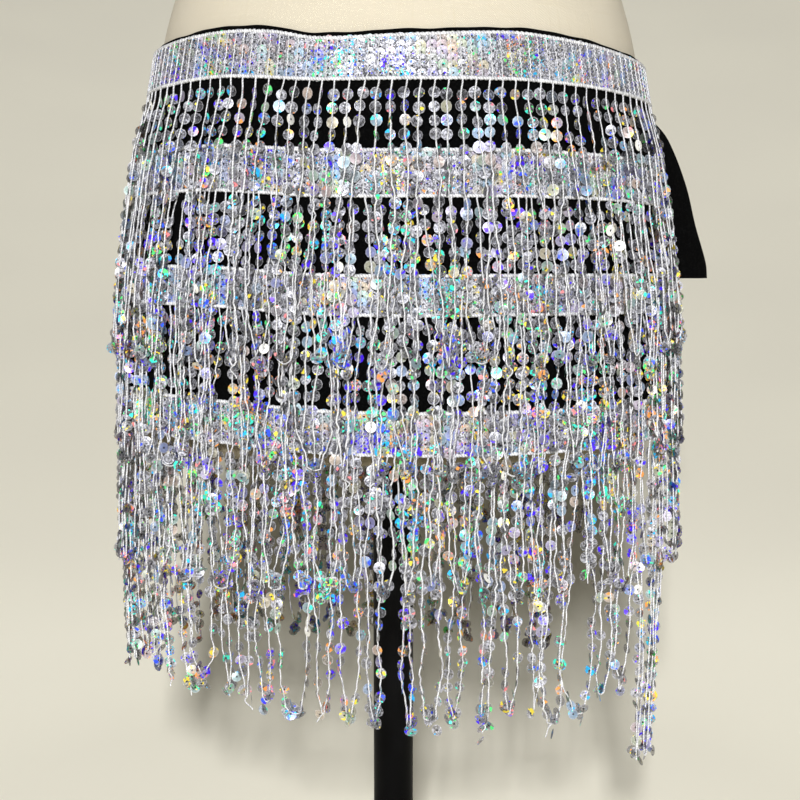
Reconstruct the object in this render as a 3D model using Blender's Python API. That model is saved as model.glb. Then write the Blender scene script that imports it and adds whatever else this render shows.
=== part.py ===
"""Belly dance hip belt tied round a limbless hip form that stands on a pole and a round base.

Metres, +Z up. The floor is z = 0 and the origin is the centre of the base's underside. The form faces
-Y, and the wearer's left hip, where the belt is tied, is at +X. An angle round the body is in degrees,
0 at the front (-Y), 90 at the left hip (+X), 180 at the back. The belt runs from its rear edge, at about
-240, round the right hip and the front to its front edge, at about 100.
"""
from bisect import bisect_right
from math import cos, pi, radians, sin
from random import Random

import bmesh
import bpy
from mathutils import Matrix, Vector

# Gaps between touching pieces, and the walls
SEAM_GAP = 0.0003
EASE = 0.0010          # between the form and the flat facets of the cloth worn on it
CLOTH_WALL = 0.0014
BAND_WALL = 0.0016
STRAND_WALL = 0.0016
TIE_WALL = 0.0024

# Stand
BASE_RADIUS = 0.135
BASE_EDGE_HEIGHT = 0.006
BASE_CROWN_HEIGHT = 0.010
COLLAR_RADIUS = 0.021
COLLAR_TOP = 0.028
EDGE_ROUND = 0.0015
POLE_RADIUS = 0.0130
ROUND_SIDES = 36
POLE_SIDES = 20

# Hip form: height, half width, depth in front of the centre, depth behind it
FORM_SECTIONS = (
    (0.3290, 0.1662, 0.1150, 0.1180),
    (0.3700, 0.1682, 0.1180, 0.1260),
    (0.4120, 0.1670, 0.1190, 0.1290),
    (0.4480, 0.1635, 0.1185, 0.1270),
    (0.5100, 0.1550, 0.1140, 0.1150),
    (0.5450, 0.1484, 0.1095, 0.1060),
    (0.5770, 0.1418, 0.1040, 0.0980),
    (0.6000, 0.1350, 0.0990, 0.0920),
    (0.6400, 0.1225, 0.0900, 0.0840),
    (0.6720, 0.1190, 0.0870, 0.0820),
)
FORM_BOTTOM = FORM_SECTIONS[0][0]
FORM_TOP = FORM_SECTIONS[-1][0]
FORM_X = 0.0034         # the form's middle lies a little to one side of the pole
FORM_EDGE_ROUND = 0.018
FORM_EDGE_STEPS = 3
FORM_SIDES = 52
HIP_HEIGHT = 0.370     # below it the cloth hangs straight down from the widest section

# Belt tiers: top of the band, bottom of the band, ends of its fringe
TIERS = (
    (0.5655, 0.5422, 0.392),
    (0.5055, 0.4800, 0.330),
    (0.4385, 0.4160, 0.264),
    (0.3634, 0.3388, 0.184),
)
CLOTH_TOP = 0.5675
CLOTH_COLUMNS = 50
BAND_END_MARGIN = 0.0006    # share of the belt's length by which a band stops short of the cloth's edge

# Free edges of the wrap: height, angle of the front edge, angle of the rear edge
EDGES = (
    (0.338, 71.0, 138.0),
    (0.363, 80.0, 134.0),
    (0.420, 93.0, 129.0),
    (0.500, 98.0, 125.5),
    (0.568, 100.0, 124.0),
)

# How the levels wander round the body: angle, rise at the waist, at the hem, at the lowest fringe's ends,
# and the further rise of the first band's upper edge
WANDER = (
    (-240.0, -0.006, -0.002, -0.004, 0.0),
    (-180.0, 0.000, 0.000, 0.000, 0.0),
    (-90.0, -0.002, 0.003, 0.009, 0.0015),
    (-65.0, 0.0001, 0.0038, 0.015, 0.0022),
    (-41.0, 0.0032, 0.004, 0.020, 0.0022),
    (-28.0, 0.0016, 0.003, 0.016, 0.0024),
    (-17.0, -0.0003, 0.0014, 0.009, -0.0002),
    (0.0, 0.000, 0.000, 0.003, 0.0006),
    (16.0, 0.0004, -0.0004, 0.006, 0.0020),
    (27.0, 0.0003, -0.0008, 0.005, 0.0026),
    (44.0, -0.0018, -0.001, 0.006, 0.0013),
    (60.0, -0.0048, -0.001, 0.013, 0.0003),
    (84.0, -0.0090, -0.002, 0.010, 0.0),
    (104.0, -0.0125, -0.004, 0.000, 0.0),
)

# Fringe: strands of a tier, and how far out their outer faces lie: height, distance from the body
STRANDS = 62
STRAND_ROOT_WIDTH = 0.0074
STRAND_END_WIDTH = 0.0054
STRIP_HEIGHT = 0.0040
STRIP_GAP = 0.0007     # between a band's lower edge, straight from column to column, and the strip's ridge
PAIR_LEAN = 0.0014     # neighbours are looped together at their ends, so they lean to each other
SWAY = 0.0006
LENGTH_SPREAD = 0.0035
CORNER_STRANDS = 3     # the strands at the low front corner, which hang longer
CORNER_DROP = 0.054
BACK_SAG = 0.020       # how much lower the lowest strands end at the back, between the next two angles
SAG_START = -100.0
SAG_END = -150.0
SEED = 7
FRINGE_LAY = (
    ((0.510, 0.0080), (0.448, 0.0095), (0.392, 0.0106)),
    ((0.445, 0.0073), (0.392, 0.0080), (0.330, 0.0108)),
    ((0.385, 0.0056), (0.345, 0.0078), (0.264, 0.0110)),
    ((0.300, 0.0070), (0.256, 0.0085), (0.184, 0.0068)),
)

# Ties: the knot, and each hanging end from just under it, as x from the form's middle, y, height, width and
# the direction of its width in plan
KNOT_ANGLE = 112.0
KNOT_HEIGHT = 0.5490
KNOT_OUT = 0.012
KNOT_SIZE = (0.026, 0.018, 0.024)
KNOT_ROUND = 0.006
STRAP_WIDTHS = (0.022, 0.017, 0.013)
STRAP_BOW = 0.0015
STRAP_GAP = 0.00045    # between a strap and the belt's edge, along the hip
TAILS = {
    "tie_end_front": (
        (0.1494, 0.0403, 0.5367, 0.0105, -50.0),
        (0.1568, 0.0438, 0.5286, 0.0210, -27.0),
        (0.1634, 0.0468, 0.5175, 0.0275, -22.0),
        (0.1730, 0.0500, 0.4889, 0.0340, -15.0),
        (0.1790, 0.0512, 0.4622, 0.0370, -10.0),
        (0.1853, 0.0520, 0.4378, 0.0400, -6.0),
        (0.1867, 0.0520, 0.4275, 0.0400, -5.0),
    ),
    "tie_end_rear": (
        (0.1436, 0.0503, 0.5367, 0.0105, -60.0),
        (0.1432, 0.0600, 0.5250, 0.0200, -60.0),
        (0.1450, 0.0720, 0.5000, 0.0270, -62.0),
        (0.1455, 0.0830, 0.4650, 0.0340, -63.0),
        (0.1460, 0.0880, 0.4350, 0.0370, -64.0),
        (0.1460, 0.0900, 0.4150, 0.0370, -64.0),
    ),
}
TAIL_FOLD = 0.0045     # how far a hanging end bows out along its middle
TAIL_COLUMNS = 4

# Materials: colour, roughness, metallic
MATERIALS = {
    "form_cover": ((0.86, 0.80, 0.66), 0.85, 0.0),
    "stand_black": ((0.012, 0.012, 0.013), 0.38, 0.6),
    "knit_black": ((0.008, 0.008, 0.009), 0.92, 0.0),
    "sequin_band": ((0.70, 0.70, 0.76), 0.22, 0.7),
    "sequin_strand": ((0.78, 0.78, 0.84), 0.20, 0.55),
}


# Reading tables


def read(rows, at):
    """The other columns of a table, read at a value of its first column on one smooth curve."""
    places = [row[0] for row in rows]
    at = min(max(at, places[0]), places[-1])
    i = min(max(bisect_right(places, at) - 1, 0), len(rows) - 2)
    span = places[i + 1] - places[i]
    t = (at - places[i]) / span
    values = []
    for column in range(1, len(rows[0])):

        def slope(k):
            low, high = max(k - 1, 0), min(k + 1, len(rows) - 1)
            return (rows[high][column] - rows[low][column]) / (places[high] - places[low])

        here, there = rows[i][column], rows[i + 1][column]
        values.append(
            here * (2 * t**3 - 3 * t**2 + 1)
            + there * (3 * t**2 - 2 * t**3)
            + span * slope(i) * (t**3 - 2 * t**2 + t)
            + span * slope(i + 1) * (t**3 - t**2)
        )
    return values


def blend(start, end, share):
    return start + (end - start) * share


# The body's surface


def body_point(angle, height, out=0.0, section_height=None):
    """A point on the form's section at an angle and height, moved level and straight out of the surface."""
    half_width, front, back = read(FORM_SECTIONS, section_height or height)
    turn = radians(angle)
    depth = front if cos(turn) > 0 else back
    away = Vector((sin(turn) / half_width, -cos(turn) / depth, 0.0)).normalized()
    return Vector((FORM_X + half_width * sin(turn), -depth * cos(turn), height)) + away * out


def worn_point(angle, height, out):
    """A point on what is worn over the form, which hangs straight below the widest section."""
    return body_point(angle, height, out, max(height, HIP_HEIGHT))


def girth_steps(first=-270, last=150):
    """Angles round the body, a degree apart, and the distance along the hip's widest section to each."""
    distances = [0.0]
    for angle in range(first, last):
        step = body_point(angle + 1, HIP_HEIGHT) - body_point(angle, HIP_HEIGHT)
        distances.append(distances[-1] + step.length)
    return list(range(first, last + 1)), distances


ANGLES, DISTANCES = girth_steps()


def distance_at(angle):
    whole = int(angle // 1) - ANGLES[0]
    return blend(DISTANCES[whole], DISTANCES[whole + 1], angle % 1)


def angle_at(distance):
    i = bisect_right(DISTANCES, distance) - 1
    return ANGLES[i] + (distance - DISTANCES[i]) / (DISTANCES[i + 1] - DISTANCES[i])


def wander(angle, height):
    """How far a level of the belt lies above its nominal height at an angle."""
    waist, hem, _, crest = read(WANDER, angle)
    top, bottom, _ = TIERS[0]
    crest *= min(max((height - bottom) / (top - bottom), 0.0), 1.0)
    return blend(hem, waist, (height - TIERS[-1][1]) / (CLOTH_TOP - TIERS[-1][1])) + crest


def belt_angle(share, height):
    """The angle at a share of the way along the belt, from its rear edge to its front edge."""
    front, rear = read(EDGES, height)
    return angle_at(blend(distance_at(rear - 360.0), distance_at(front), share))


def belt_point(share, height, out):
    angle = belt_angle(share, height)
    return worn_point(angle, height + wander(angle, height), out)


# Making objects


def material(name):
    if name in bpy.data.materials:
        return bpy.data.materials[name]
    colour, roughness, metallic = MATERIALS[name]
    made = bpy.data.materials.new(name)
    made.use_nodes = True
    shader = made.node_tree.nodes["Principled BSDF"]
    shader.inputs["Base Color"].default_value = (*colour, 1.0)
    shader.inputs["Roughness"].default_value = roughness
    shader.inputs["Metallic"].default_value = metallic
    made.diffuse_color = (*colour, 1.0)
    return made


def add_object(name, points, faces, material_name, sharp=40.0):
    mesh = bpy.data.meshes.new(name)
    mesh.from_pydata([tuple(point) for point in points], [], faces)
    mesh.shade_smooth()
    mesh.set_sharp_from_angle(angle=radians(sharp))
    mesh.materials.append(material(material_name))
    made = bpy.data.objects.new(name, mesh)
    bpy.context.collection.objects.link(made)
    return made


def loft(loops):
    """Points and faces of a closed body through loops of points that run anticlockwise seen from its end."""
    count = len(loops[0])
    points = [point for loop in loops for point in loop]
    faces = [list(range(count))[::-1], [len(points) - count + i for i in range(count)]]
    for row in range(len(loops) - 1):
        for i in range(count):
            j = (i + 1) % count
            faces.append([row * count + i, row * count + j, (row + 1) * count + j, (row + 1) * count + i])
    return points, faces


def wall(outer, inner):
    """Points and faces of a closed wall between two grids of points, rows from low to high.

    Cells are split on the diagonal that runs with the belt's slanted edges, which keeps the facets close
    to the round body, and walls made from the same points parallel.
    """
    rows, columns = len(outer), len(outer[0])
    points = [point for grid in (outer, inner) for row in grid for point in row]
    lining = rows * columns

    def at(row, column):
        return row * columns + column

    faces = []
    for r in range(rows - 1):
        for c in range(columns - 1):
            low, next_low, high, next_high = at(r, c), at(r, c + 1), at(r + 1, c), at(r + 1, c + 1)
            if c < (columns - 1) / 2:
                halves = ((low, next_low, next_high), (low, next_high, high))
            else:
                halves = ((low, next_low, high), (next_low, next_high, high))
            for cell in halves:
                faces += [list(cell), [lining + i for i in reversed(cell)]]
    rim = [at(0, c) for c in range(columns)]
    rim += [at(r, columns - 1) for r in range(1, rows)]
    rim += [at(rows - 1, c) for c in range(columns - 2, -1, -1)]
    rim += [at(r, 0) for r in range(rows - 2, 0, -1)]
    for k, i in enumerate(rim):
        j = rim[(k + 1) % len(rim)]
        faces.append([j, i, lining + i, lining + j])
    return points, faces


# The stand and the form


def turned(profile, sides):
    """A body turned about the Z axis, from radius and height pairs that run from its bottom to its top."""
    return loft(
        [
            [Vector((r * cos(2 * pi * i / sides), r * sin(2 * pi * i / sides), z)) for i in range(sides)]
            for r, z in profile
        ]
    )


def make_stand():
    """The round base, crowned towards its middle, the collar on it and the pole that carries the form."""
    base = [
        (BASE_RADIUS - EDGE_ROUND, 0.0),
        (BASE_RADIUS, EDGE_ROUND),
        (BASE_RADIUS, BASE_EDGE_HEIGHT - EDGE_ROUND),
        (BASE_RADIUS - EDGE_ROUND, BASE_EDGE_HEIGHT),
        (COLLAR_RADIUS + 2 * EDGE_ROUND, BASE_CROWN_HEIGHT),
    ]
    add_object("stand_base", *turned(base, ROUND_SIDES), "stand_black")
    collar = [
        (COLLAR_RADIUS, BASE_CROWN_HEIGHT + SEAM_GAP),
        (COLLAR_RADIUS, COLLAR_TOP - EDGE_ROUND),
        (COLLAR_RADIUS - EDGE_ROUND, COLLAR_TOP),
    ]
    add_object("stand_collar", *turned(collar, POLE_SIDES), "stand_black")
    pole = [(POLE_RADIUS, COLLAR_TOP + SEAM_GAP), (POLE_RADIUS, FORM_BOTTOM - SEAM_GAP)]
    add_object("stand_pole", *turned(pole, POLE_SIDES), "stand_black")


def form_loop(height, inset=0.0):
    return [body_point(360.0 * i / FORM_SIDES, height, -inset) for i in range(FORM_SIDES)]


def make_form():
    """The hip form, with its lower and upper edges rounded over to a flat underside and a flat top."""
    turns = [pi / 2 * i / FORM_EDGE_STEPS for i in range(FORM_EDGE_STEPS + 1)]
    rounding = [(FORM_EDGE_ROUND * (1 - sin(t)), FORM_EDGE_ROUND * (1 - cos(t))) for t in turns]
    loops = [form_loop(FORM_BOTTOM + rise, inset) for inset, rise in rounding]
    heights = [section[0] for section in FORM_SECTIONS[1:-1]]
    loops += [form_loop(height) for height in heights]
    loops += [form_loop(FORM_TOP - rise, inset) for inset, rise in reversed(rounding)]
    add_object("hip_form", *loft(loops), "form_cover")


# The cloth, the bands and the fringe


def belt_wall(heights, inner, thickness, end_margin=0.0):
    """A wall that follows the belt at the given heights, as outer and inner grids of points."""
    shares = [i / CLOTH_COLUMNS for i in range(CLOTH_COLUMNS + 1)]
    shares[0], shares[-1] = end_margin, 1.0 - end_margin
    return wall(
        *[
            [[belt_point(share, height, out) for share in shares] for height in heights]
            for out in (inner + thickness, inner)
        ]
    )


def make_cloth():
    levels = [CLOTH_TOP] + [level for top, bottom, _ in TIERS for level in (top, bottom)]
    levels += [(upper[1] + lower[0]) / 2 for upper, lower in zip(TIERS, TIERS[1:])]
    add_object("wrap_cloth", *belt_wall(sorted(levels), EASE, CLOTH_WALL), "knit_black")


def make_bands():
    inner = EASE + CLOTH_WALL + SEAM_GAP
    for number, (top, bottom, _) in enumerate(TIERS, 1):
        points, faces = belt_wall((bottom, top), inner, BAND_WALL, BAND_END_MARGIN)
        add_object(f"band_{number}", points, faces, "sequin_band")


def strand_fall(tier, number, angle, chance):
    """How far above its nominal height a strand ends."""
    fall = chance.uniform(-LENGTH_SPREAD, LENGTH_SPREAD)
    behind = min(max((angle - SAG_START) / (SAG_END - SAG_START), 0.0), 1.0)
    fall -= BACK_SAG * behind * (tier + 1) / len(TIERS)
    if tier == len(TIERS) - 1:
        fall += read(WANDER, angle)[2]
        if number >= STRANDS - CORNER_STRANDS:
            fall -= CORNER_DROP
    return fall


def strand_lines(tier):
    """The two side edges of every strand of a tier at each level, as angle and height, root first."""
    chance = Random(SEED + tier)
    _, bottom, end = TIERS[tier]
    root = bottom - STRIP_GAP - STRIP_HEIGHT
    levels = [root] + [height for height, _ in FRINGE_LAY[tier]]
    front, rear = read(EDGES, bottom)
    first, last = distance_at(rear - 360.0), distance_at(front)
    pitch = (last - first) / STRANDS
    lines = []
    for number in range(STRANDS):
        middle = first + pitch * (number + 0.5)
        lean = (PAIR_LEAN if number % 2 == 0 else -PAIR_LEAN) + chance.uniform(-SWAY, SWAY)
        angle = angle_at(middle)
        fall = strand_fall(tier, number, angle, chance)
        edges = []
        for level in levels:
            share = (root - level) / (root - end)
            half = blend(STRAND_ROOT_WIDTH, STRAND_END_WIDTH, share) / 2
            height = level + wander(angle, level) * (1 - share) + fall * share
            centre = middle + lean * share
            edges.append((angle_at(centre - half), angle_at(centre + half), height))
        lines.append(edges)
    return lines


def make_fringe(tier):
    """A narrow wedge-shaped strip under the band, with flat four-sided strands drawn out of its bottom."""
    inner = EASE + CLOTH_WALL + 2 * SEAM_GAP
    outs = [inner + STRAND_WALL] + [out for _, out in FRINGE_LAY[tier]]
    ridge_out = inner + STRAND_WALL / 2
    points, faces, columns = [], [], []

    def add(angle, height, out):
        points.append(worn_point(angle, height, out))
        return len(points) - 1

    for line in strand_lines(tier):
        rings = []
        for (left, right, height), out in zip(line, outs):
            corners = ((left, out), (left, out - STRAND_WALL), (right, out - STRAND_WALL), (right, out))
            rings.append([add(angle, height, distance) for angle, distance in corners])
        for upper, lower in zip(rings, rings[1:]):
            for i in range(4):
                j = (i + 1) % 4
                faces.append([upper[i], upper[j], lower[j], lower[i]])
        faces.append(rings[-1])
        left, right, height = line[0]
        left_outer, left_inner, right_inner, right_outer = rings[0]
        columns.append((add(left, height + STRIP_HEIGHT, ridge_out), left_outer, left_inner))
        columns.append((add(right, height + STRIP_HEIGHT, ridge_out), right_outer, right_inner))
    # The strip joins the ridge, outer and inner points at both edges of every strand
    for i, (here, there) in enumerate(zip(columns, columns[1:])):
        faces.append([here[1], there[1], there[0], here[0]])
        faces.append([here[0], there[0], there[2], here[2]])
        if i % 2 == 1:
            faces.append([here[2], there[2], there[1], here[1]])
    faces.append([columns[0][0], columns[0][2], columns[0][1]])
    faces.append([columns[-1][0], columns[-1][1], columns[-1][2]])
    add_object(f"fringe_{tier + 1}", points, faces, "sequin_strand")


# The ties


def ribbon(sections, thickness, bow=0.0, columns=1):
    """Loops of a flat strip through sections of centre, direction of its width, direction it faces, width."""
    loops = []
    for number, (centre, across, facing, width) in enumerate(sections):
        bulge = bow * number / (len(sections) - 1)
        shares = [i / columns - 0.5 for i in range(columns + 1)]
        front = [
            centre + across * width * s + facing * (thickness / 2 + bulge * (1 - 4 * s * s)) for s in shares
        ]
        loops.append(front[::-1] + [point - facing * thickness for point in front])
    return loft(loops)


def knot_frame():
    """The knot's centre, and the directions along the belt, out of the body and up."""
    surface = body_point(KNOT_ANGLE, KNOT_HEIGHT)
    centre = body_point(KNOT_ANGLE, KNOT_HEIGHT, KNOT_OUT)
    outward = (centre - surface).normalized()
    up = Vector((0.0, 0.0, 1.0))
    return centre, up.cross(outward), outward, up


def make_knot():
    centre, along, outward, up = knot_frame()
    shape = bmesh.new()
    bmesh.ops.create_cube(shape, size=1.0)
    bmesh.ops.scale(shape, verts=shape.verts, vec=KNOT_SIZE)
    bmesh.ops.bevel(shape, geom=shape.edges[:], offset=KNOT_ROUND, segments=3, profile=0.5, affect="EDGES")
    turn = Matrix((along, outward, up)).transposed().to_4x4()
    bmesh.ops.transform(shape, matrix=Matrix.Translation(centre) @ turn, verts=shape.verts)
    bmesh.ops.recalc_face_normals(shape, faces=shape.faces)
    mesh = bpy.data.meshes.new("tie_knot")
    shape.to_mesh(mesh)
    shape.free()
    mesh.shade_smooth()
    mesh.materials.append(material("knit_black"))
    bpy.context.collection.objects.link(bpy.data.objects.new("tie_knot", mesh))


def make_straps():
    """The short straps that draw the belt's two top corners to the knot, leaning with the form's side."""
    centre, along, outward, up = knot_frame()
    out = EASE + CLOTH_WALL / 2 + SEAM_GAP
    top, bottom, _ = TIERS[0]
    for name, share, side in (("tie_strap_front", 1.0, -1), ("tie_strap_rear", 0.0, 1)):
        corner_angle = belt_angle(share, top)
        height = (top + bottom) / 2 + wander(corner_angle, top)
        angle = angle_at(distance_at(corner_angle) - side * STRAP_GAP)
        start = body_point(angle, height, out)
        leaning = (body_point(angle, top, out) - body_point(angle, bottom, out)).normalized()
        end = centre + along * side * (KNOT_SIZE[0] / 2 + SEAM_GAP)
        path = (start, (start + end) / 2 + outward * STRAP_BOW, end)
        runs = (path[1] - start, end - start, along * -side)
        leans = (leaning, (leaning + up).normalized(), up)
        sections = []
        for place, run, lean, width in zip(path, runs, leans, STRAP_WIDTHS):
            facing = lean.cross(run.normalized() * side).normalized()
            sections.append((place, lean, facing, width))
        if side > 0:
            sections.reverse()
        add_object(name, *ribbon(sections, TIE_WALL), "knit_black")


def make_tails():
    """The two ends that hang from the knot, each bowed out along its middle."""
    up = Vector((0.0, 0.0, 1.0))
    for name, rows in TAILS.items():
        sections = []
        for x, y, height, width, plan in rows:
            across = Vector((cos(radians(plan)), sin(radians(plan)), 0.0))
            centre = Vector((FORM_X + x, y, height))
            sections.append((centre, across, across.cross(up), width))
        points, faces = ribbon(sections, TIE_WALL, TAIL_FOLD, TAIL_COLUMNS)
        add_object(name, points, faces, "knit_black")


def main():
    for old in list(bpy.data.objects):
        bpy.data.objects.remove(old, do_unlink=True)
    make_stand()
    make_form()
    make_cloth()
    make_bands()
    for tier in range(len(TIERS)):
        make_fringe(tier)
    make_straps()
    make_knot()
    make_tails()


main()
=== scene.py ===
"""Looks of the belly dance hip belt on its hip form: sequin bands, sequin strings, knit cloth and stand.

Metres, +Z up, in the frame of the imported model. The form faces -Y and the belt is tied at +X. An angle
round the body is in degrees, 0 at the front (-Y), 90 at the left hip (+X), 180 at the back. The belt
runs from its rear edge, at about -240, round the right hip and the front to its front edge, near 100.
"""
from math import cos, pi, radians, sin

import bpy
import numpy as np
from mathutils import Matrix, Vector


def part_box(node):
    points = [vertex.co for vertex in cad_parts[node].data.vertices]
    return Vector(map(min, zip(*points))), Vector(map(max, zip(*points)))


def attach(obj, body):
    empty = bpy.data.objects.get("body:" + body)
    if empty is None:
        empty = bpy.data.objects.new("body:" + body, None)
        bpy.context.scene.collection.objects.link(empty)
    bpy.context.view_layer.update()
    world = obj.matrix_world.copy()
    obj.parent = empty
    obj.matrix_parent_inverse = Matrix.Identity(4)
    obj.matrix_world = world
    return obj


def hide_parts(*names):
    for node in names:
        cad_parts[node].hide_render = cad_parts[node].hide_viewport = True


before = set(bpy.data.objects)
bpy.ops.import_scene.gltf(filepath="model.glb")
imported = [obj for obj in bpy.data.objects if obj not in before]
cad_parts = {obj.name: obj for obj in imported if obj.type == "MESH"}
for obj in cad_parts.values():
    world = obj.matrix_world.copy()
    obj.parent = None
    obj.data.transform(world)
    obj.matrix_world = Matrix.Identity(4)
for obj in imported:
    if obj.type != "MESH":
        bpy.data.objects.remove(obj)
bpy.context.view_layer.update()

# The form, the same sections as its solid: height, half width, depth in front, depth behind
FORM_SECTIONS = (
    (0.3290, 0.1662, 0.1150, 0.1180),
    (0.3700, 0.1682, 0.1180, 0.1260),
    (0.4120, 0.1670, 0.1190, 0.1290),
    (0.4480, 0.1635, 0.1185, 0.1270),
    (0.5100, 0.1550, 0.1140, 0.1150),
    (0.5450, 0.1484, 0.1095, 0.1060),
    (0.5770, 0.1418, 0.1040, 0.0980),
    (0.6000, 0.1350, 0.0990, 0.0920),
    (0.6400, 0.1225, 0.0900, 0.0840),
    (0.6720, 0.1190, 0.0870, 0.0820),
)
FORM_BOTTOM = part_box("hip_form")[0].z
FORM_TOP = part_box("hip_form")[1].z
FORM_EDGE_ROUND = 0.018
FORM_X = 0.0034
HIP_HEIGHT = 0.370

# The belt: top of each band, bottom of the band, ends of its fringe
TIERS = (
    (0.5655, 0.5422, 0.392),
    (0.5055, 0.4800, 0.330),
    (0.4385, 0.4160, 0.264),
    (0.3634, 0.3388, 0.184),
)
CLOTH_TOP = 0.5675
HEM = TIERS[-1][1]
CLOTH_INNER = 0.0010
CLOTH_OUTER = 0.0024
BAND_OUTER = 0.0043

# Free edges of the wrap: height, angle of the front edge, angle of the rear edge
EDGES = (
    (0.338, 71.0, 138.0),
    (0.363, 80.0, 134.0),
    (0.420, 93.0, 129.0),
    (0.500, 98.0, 125.5),
    (0.568, 100.0, 124.0),
)

# How the levels wander: angle, rise at the waist, at the hem, at the lowest fringe's ends, and the
# further rise of the first band's upper edge
WANDER = (
    (-240.0, -0.006, -0.002, -0.004, 0.0),
    (-180.0, 0.000, 0.000, 0.000, 0.0),
    (-90.0, -0.002, 0.003, 0.009, 0.0015),
    (-65.0, 0.0001, 0.0038, 0.015, 0.0022),
    (-41.0, 0.0032, 0.004, 0.020, 0.0022),
    (-28.0, 0.0016, 0.003, 0.016, 0.0024),
    (-17.0, -0.0003, 0.0014, 0.009, -0.0002),
    (0.0, 0.000, 0.000, 0.003, 0.0006),
    (16.0, 0.0004, -0.0004, 0.006, 0.0020),
    (27.0, 0.0003, -0.0008, 0.005, 0.0026),
    (44.0, -0.0018, -0.001, 0.006, 0.0013),
    (60.0, -0.0048, -0.001, 0.013, 0.0003),
    (84.0, -0.0090, -0.002, 0.010, 0.0),
    (104.0, -0.0125, -0.004, 0.000, 0.0),
)

# Fringe strings: how far out each tier lies, by height, and the sizes of the strings
FRINGE_LAY = (
    ((0.5375, 0.0044), (0.510, 0.0080), (0.448, 0.0095), (0.392, 0.0106)),
    ((0.4753, 0.0044), (0.445, 0.0073), (0.392, 0.0080), (0.330, 0.0108)),
    ((0.4113, 0.0044), (0.385, 0.0056), (0.345, 0.0078), (0.264, 0.0110)),
    ((0.3341, 0.0044), (0.300, 0.0070), (0.256, 0.0085), (0.184, 0.0068)),
)
STRING_PITCH = 0.0075
# Waves of a string from side to side: size, and the least and most waves on its way down
STRING_WAVES = ((0.0013, 0.4, 0.9), (0.0009, 1.2, 2.2), (0.0005, 3.0, 5.0))
STRING_STEPS = 58
THREAD_RADIUS = 0.00051
SEQUIN_RADIUS = 0.0034
SEQUIN_PITCH = 0.0074
SEQUIN_FILM = 0.00016
SEQUIN_DISH = 0.00028
BUNCH_SPREAD = np.array([0.0018, 0.0012, 0.0036])    # sideways, outward, up
TAIL_SHARE = 0.24     # of the loops have a loose end of thread
FIRST_SEQUIN = 0.0086
BACK_SAG = 0.020
CORNER_REACH = 0.043
CORNER_DROP = 0.054
CORNER_PULL = 0.45
CORNER_SHIFT = 0.004
SEED = 11

# Bands: pitch of the sequins' columns and rows, and the sizes of the tape's edge
COLUMN_PITCH = 0.0056
ROW_PITCH = 0.0039
EDGE_CORD_RADIUS = 0.0010
BAND_MARGIN = 0.0028
TAPE_SPAN = (0.0006, 0.9994)    # the share of the belt's length that a tape covers
TAPE_INNER = CLOTH_OUTER + 0.0003
TAPE_OUTER = CLOTH_OUTER + 0.0009
BAND_SEQUINS_OUT = CLOTH_OUTER + 0.0014
BAND_SEQUIN_RADIUS = 0.0031
BAND_SEQUIN_DISH = 0.00018
THREAD_INSET = 0.0008    # from the stitching to the tape's edges and the columns
STITCH_LENGTH = 0.0028
STITCH_RADIUS = 0.00040
ZIGZAG = 0.00032

# A sequin's corners, and the shares of sequins that are tinted and of a sequin that flecks cover
SEQUIN_SIDES = 10
BAND_TINTS = 0.34
BAND_FLECKS = 0.070
STRING_TINTS = 0.22
STRING_FLECKS = 0.080

UP = np.array([0.0, 0.0, 1.0])


# Reading tables and the body's surface


def read(rows, at):
    """The other columns of a table, read at values of its first column on one smooth curve."""
    table = np.array(rows)
    x, y = table[:, 0], table[:, 1:]
    low = np.maximum(np.arange(len(x)) - 1, 0)
    high = np.minimum(np.arange(len(x)) + 1, len(x) - 1)
    slopes = (y[high] - y[low]) / (x[high] - x[low])[:, None]
    at = np.clip(np.asarray(at, float), x[0], x[-1])
    i = np.clip(np.searchsorted(x, at, side="right") - 1, 0, len(x) - 2)
    span = (x[i + 1] - x[i])[..., None]
    t = (at - x[i])[..., None] / span
    return (
        y[i] * (2 * t**3 - 3 * t**2 + 1)
        + y[i + 1] * (3 * t**2 - 2 * t**3)
        + span * slopes[i] * (t**3 - 2 * t**2 + t)
        + span * slopes[i + 1] * (t**3 - t**2)
    )


def blend(start, end, share):
    return start + (end - start) * share


def ease(low, high, value):
    t = np.clip((value - low) / (high - low), 0.0, 1.0)
    return t * t * (3 - 2 * t)


def unit(vectors):
    return vectors / np.maximum(np.linalg.norm(vectors, axis=-1, keepdims=True), 1e-12)


def run_along(paths):
    """How far along its path each point lies."""
    steps = np.linalg.norm(np.diff(paths, axis=-2), axis=-1)
    return np.concatenate([np.zeros((*steps.shape[:-1], 1)), np.cumsum(steps, axis=-1)], -1)


def body(angle, height, out=0.0, section_height=None):
    """Points on the form's section, moved level and straight out of the surface, and the ways outward."""
    angle, height, out = np.broadcast_arrays(*(np.asarray(value, float) for value in (angle, height, out)))
    sizes = read(FORM_SECTIONS, height if section_height is None else section_height)
    turn = np.radians(angle)
    depth = np.where(np.cos(turn) > 0, sizes[..., 1], sizes[..., 2])
    flat = np.zeros_like(turn)
    away = unit(np.stack([np.sin(turn) / sizes[..., 0], -np.cos(turn) / depth, flat], -1))
    place = np.stack([FORM_X + sizes[..., 0] * np.sin(turn), -depth * np.cos(turn), height], -1)
    return place + away * out[..., None], away


def worn(angle, height, out):
    """Points on what is worn over the form, which hangs straight below the widest section."""
    height = np.asarray(height, float)
    angle, height = np.broadcast_arrays(np.asarray(angle, float), height)
    return body(angle, height, out, np.maximum(height, HIP_HEIGHT))


ANGLES = np.arange(-270.0, 151.0)
DISTANCES = run_along(body(ANGLES, HIP_HEIGHT)[0])


def distance_at(angle):
    return np.interp(angle, ANGLES, DISTANCES)


def angle_at(distance):
    return np.interp(distance, DISTANCES, ANGLES)


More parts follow.
